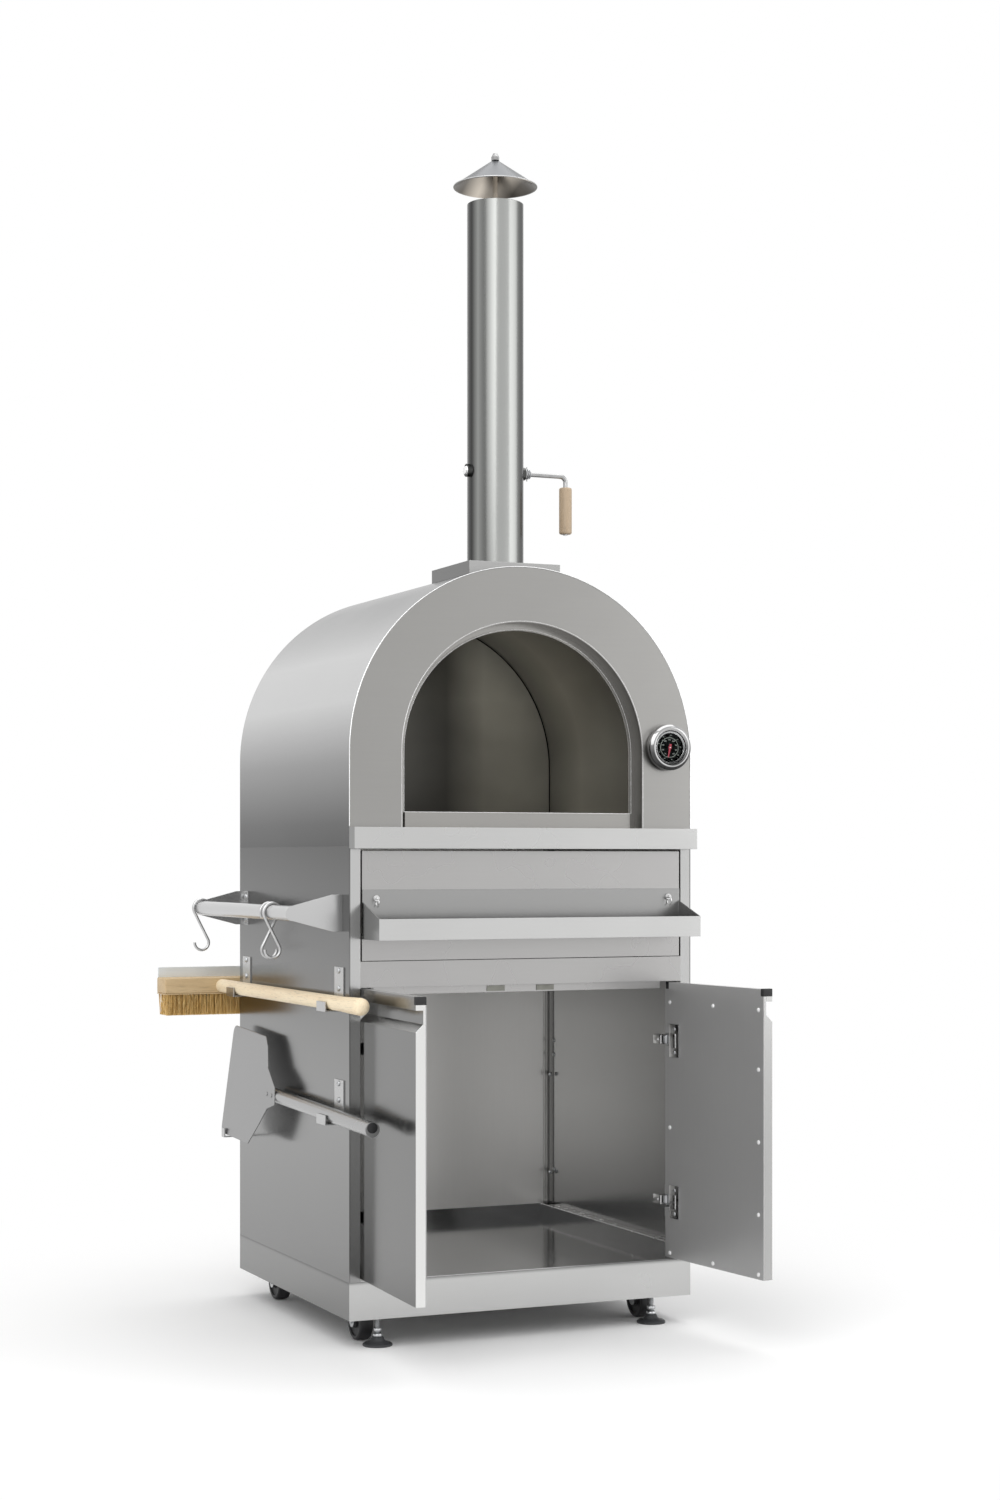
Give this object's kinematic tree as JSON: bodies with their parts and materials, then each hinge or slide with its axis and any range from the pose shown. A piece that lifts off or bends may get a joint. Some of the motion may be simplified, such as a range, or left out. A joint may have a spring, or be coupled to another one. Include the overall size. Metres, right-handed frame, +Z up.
{
  "type": "pizza oven with cabinet",
  "caption": "Arched outdoor pizza oven with a chimney and damper on a wheeled two-door cabinet, with a front shelf, tool rail, brush and peel.",
  "frame": {"origin": "middle of the whole object's box on the ground, doors open and tools hung", "axes": "+Z up, -Y to the front where the doors and the oven's mouth are, +X to the right seen from the front"},
  "size_m": [0.752, 0.9531, 1.995],
  "materials": {
    "stainless": "brushed",
    "liner_steel": "satin",
    "zinc": "zinc plated",
    "polished": "polished",
    "blanket": "matte",
    "stone": "rough",
    "black_plastic": "matte",
    "magnet": "matte",
    "tyre": "matte",
    "dial_black": "matte",
    "needle_red": "satin",
    "clear_glass": "clear",
    "beech": "oiled",
    "bristle_brass": "satin"
  },
  "bodies": {
    "oven": {"plinth": "stainless", "floor_panel": "stainless", "left_side_panel": "stainless", "right_side_panel": "stainless", "back_panel": "stainless", "corner_posts": "stainless", "fascia_panel": "stainless", "door_rail": "stainless", "magnet_catches": "magnet", "front_ledge": "stainless", "top_deck": "stainless", "oven_shell": "stainless", "oven_face": "stainless", "oven_back": "stainless", "oven_liner": "liner_steel", "door_seat_frame": "stainless", "insulation": "blanket", "floor_stones": "stone", "chimney_collar": "stainless", "chimney_pipe": "stainless", "cap_bracket": "stainless", "rain_cap": "stainless", "cap_nut": "polished", "thermometer_case": "polished", "thermometer_dial": "dial_black", "thermometer_glass": "clear_glass", "front_shelf": "stainless", "shelf_studs": "polished", "side_rail": "stainless", "tool_clips": "stainless", "side_screws": "zinc", "hinge_arms": "zinc", "caster_plates": "zinc", "foot_nuts": "zinc"},
    "left_door": {"left_door_pan": "stainless", "left_door_liner": "stainless", "left_door_channel": "stainless"},
    "right_door": {"right_door_pan": "stainless", "right_door_liner": "stainless", "right_door_channel": "stainless"},
    "damper": {"damper_rod": "zinc", "damper_grip": "beech"},
    "needle": {"needle": "needle_red"},
    "hook_rear": {"hook_rear": "polished"},
    "hook_mid": {"hook_mid": "polished"},
    "hook_front": {"hook_front": "polished"},
    "brush": {"brush_wood": "beech", "brush_bristles": "bristle_brass", "brush_scraper": "stainless"},
    "peel": {"peel_blade": "stainless", "peel_handle": "stainless"},
    "front_fork_left": {"front_fork_left": "zinc"},
    "front_fork_right": {"front_fork_right": "zinc"},
    "front_wheel_left": {"front_wheel_left": "tyre"},
    "front_wheel_right": {"front_wheel_right": "tyre"},
    "rear_wheel_left": {"rear_wheel_left": "tyre"},
    "rear_wheel_right": {"rear_wheel_right": "tyre"},
    "foot_left": {"foot_left": "black_plastic"},
    "foot_right": {"foot_right": "black_plastic"}
  },
  "joints": [
    {"name": "left_door_hinge", "type": "hinge", "parent": "oven", "child": "left_door", "pos_m": [-0.22001, -0.19869, 0.34], "axis": [0, 0, 1], "range_deg": [0, 93]},
    {"name": "right_door_hinge", "type": "hinge", "parent": "oven", "child": "right_door", "pos_m": [0.33899, -0.19869, 0.34], "axis": [0, 0, -1], "range_deg": [0, 96]},
    {"name": "damper_turn", "type": "hinge", "parent": "oven", "child": "damper", "pos_m": [0.05949, -0.08369, 1.452], "axis": [-1, 0, 0], "range_deg": [-90, 90]},
    {"name": "needle_turn", "type": "hinge", "parent": "oven", "child": "needle", "pos_m": [0.32349, -0.22019, 0.982], "axis": [0, 1, 0], "range_deg": [-12, 343]},
    {"name": "hook_rear_swing", "type": "hinge", "parent": "oven", "child": "hook_rear", "pos_m": [-0.33551, 0.32731, 0.705], "axis": [0, 1, 0], "range_deg": [-75, 75]},
    {"name": "hook_mid_swing", "type": "hinge", "parent": "oven", "child": "hook_mid", "pos_m": [-0.33551, -0.05569, 0.705], "axis": [0, 1, 0], "range_deg": [-75, 75]},
    {"name": "hook_front_swing", "type": "hinge", "parent": "oven", "child": "hook_front", "pos_m": [-0.33551, -0.07269, 0.705], "axis": [0, 1, 0], "range_deg": [-75, 75]},
    {"name": "brush_lift", "type": "slide", "parent": "oven", "child": "brush", "axis": [0, 0, 1], "range_m": [0, 0.05]},
    {"name": "peel_lift", "type": "slide", "parent": "oven", "child": "peel", "axis": [0, 0, 1], "range_m": [0, 0.04]},
    {"name": "front_swivel_left", "type": "hinge", "parent": "oven", "child": "front_fork_left", "pos_m": [-0.19851, -0.10369, 0.06], "axis": [0, 0, 1], "continuous": true},
    {"name": "front_swivel_right", "type": "hinge", "parent": "oven", "child": "front_fork_right", "pos_m": [0.31749, -0.10369, 0.06], "axis": [0, 0, 1], "continuous": true},
    {"name": "front_wheel_left_spin", "type": "hinge", "parent": "front_fork_left", "child": "front_wheel_left", "pos_m": [-0.19851, -0.11869, 0.0315], "axis": [1, 0, 0], "continuous": true},
    {"name": "front_wheel_right_spin", "type": "hinge", "parent": "front_fork_right", "child": "front_wheel_right", "pos_m": [0.31749, -0.11869, 0.0315], "axis": [1, 0, 0], "continuous": true},
    {"name": "rear_wheel_left_spin", "type": "hinge", "parent": "oven", "child": "rear_wheel_left", "pos_m": [-0.19851, 0.29631, 0.0315], "axis": [1, 0, 0], "continuous": true},
    {"name": "rear_wheel_right_spin", "type": "hinge", "parent": "oven", "child": "rear_wheel_right", "pos_m": [0.31749, 0.29631, 0.0315], "axis": [1, 0, 0], "continuous": true},
    {"name": "foot_left_screw", "type": "slide", "parent": "oven", "child": "foot_left", "axis": [0, 0, 1], "range_m": [-0.008, 0.014]},
    {"name": "foot_right_screw", "type": "slide", "parent": "oven", "child": "foot_right", "axis": [0, 0, 1], "range_m": [-0.008, 0.014]}
  ]
}
